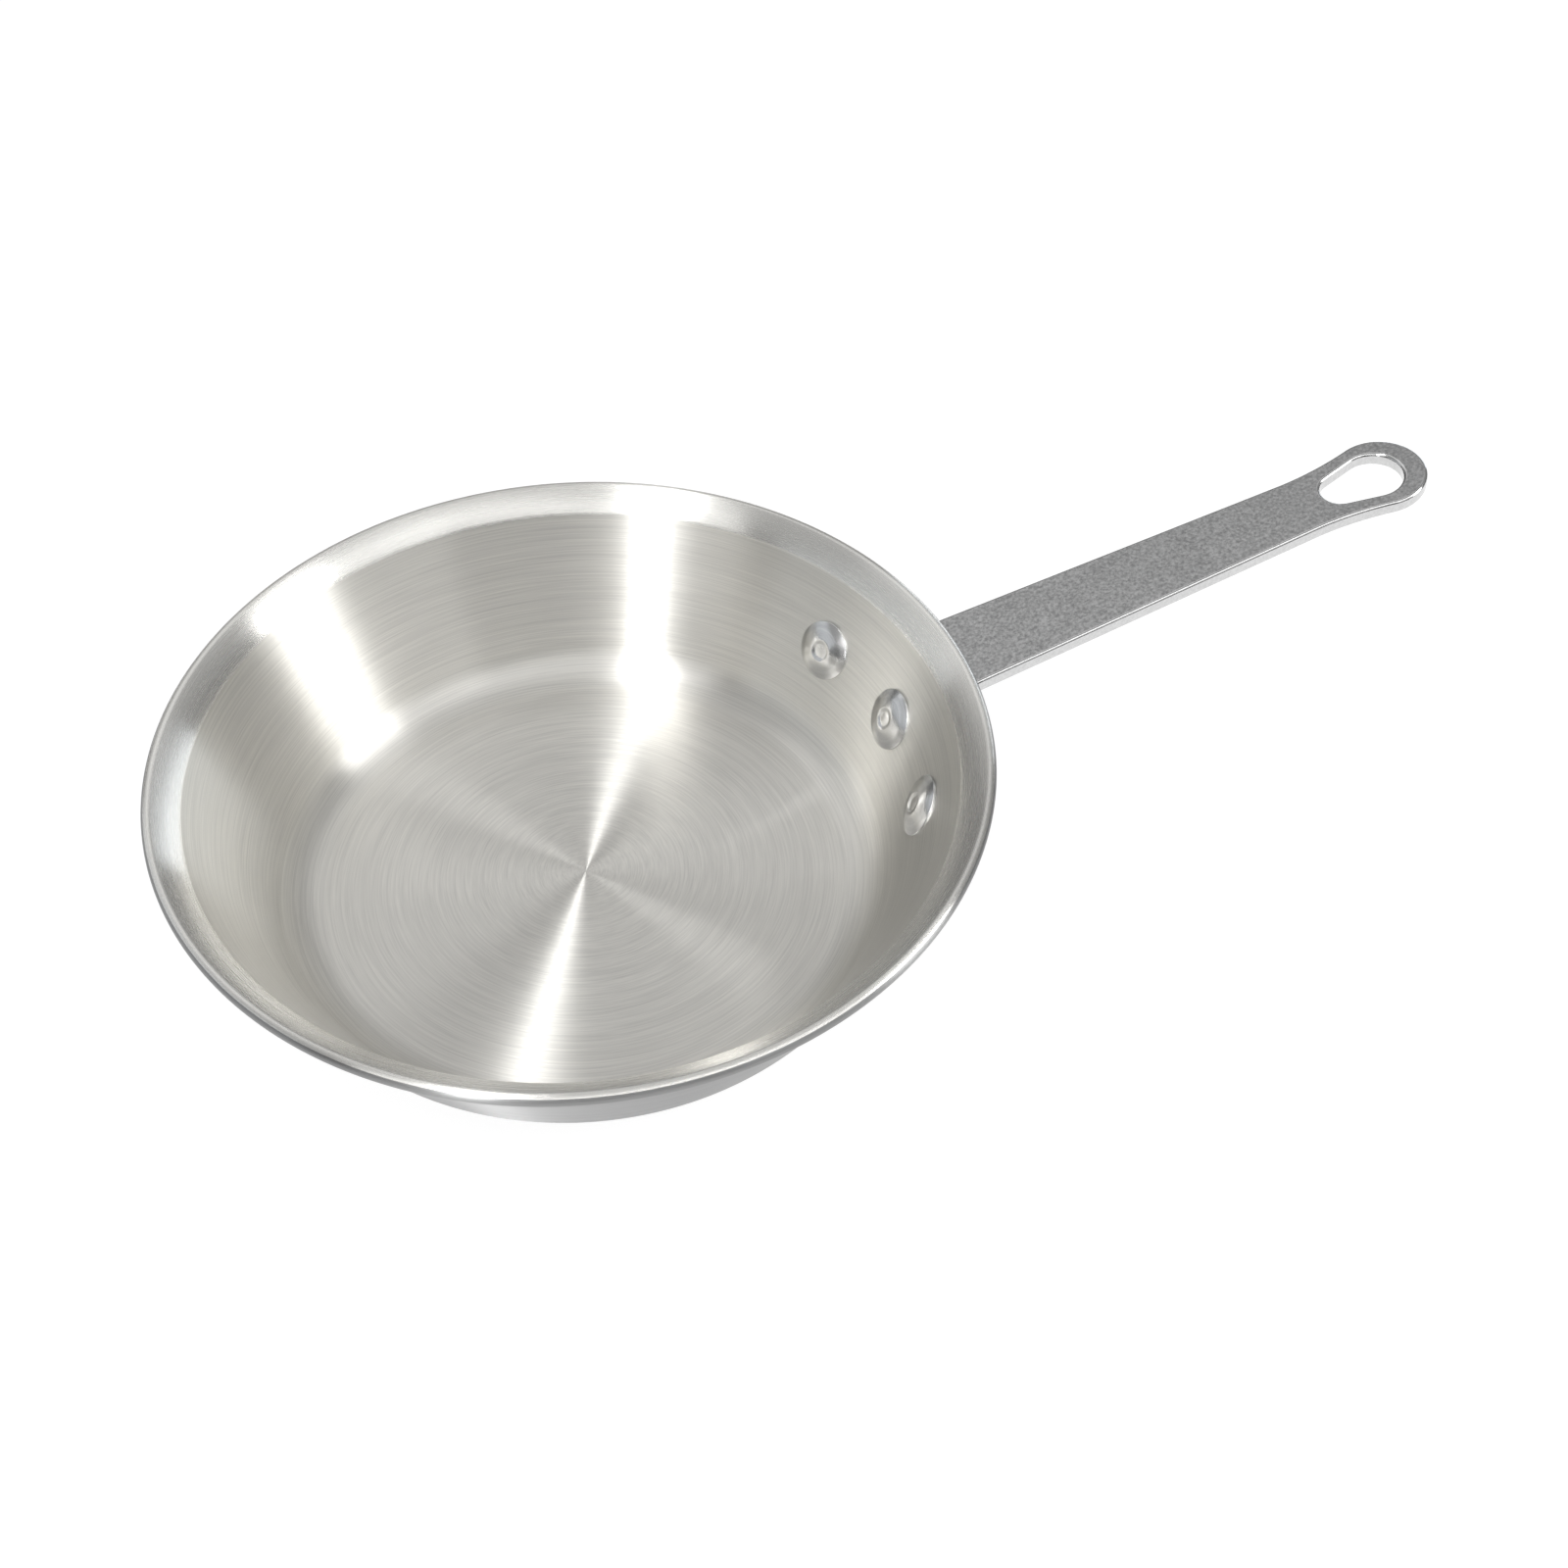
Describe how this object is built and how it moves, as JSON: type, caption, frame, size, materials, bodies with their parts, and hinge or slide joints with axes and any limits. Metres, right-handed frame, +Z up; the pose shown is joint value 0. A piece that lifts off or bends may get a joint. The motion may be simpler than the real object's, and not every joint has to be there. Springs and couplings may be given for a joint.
{
  "type": "omelette pan",
  "caption": "Shallow round spun-aluminium frying pan with a flared lip and a flat steel bar handle, riveted behind the wall and pierced at its end for hanging.",
  "frame": {"origin": "middle of the flat underside of the base, which the pan rests on", "axes": "+Z up along the bowl's axis, +X along the handle, away from the bowl"},
  "size_m": [0.3464, 0.208, 0.0712],
  "materials": {
    "spun_aluminium": "satin, spun in fine circles",
    "plated_steel": "matt plated faces with bright edges",
    "rivet_aluminium": "smooth, pressed"
  },
  "bodies": {
    "root": {"pan_body": "spun_aluminium", "handle": "plated_steel", "rivet_left": "rivet_aluminium", "rivet_middle": "rivet_aluminium", "rivet_right": "rivet_aluminium"}
  },
  "joints": []
}
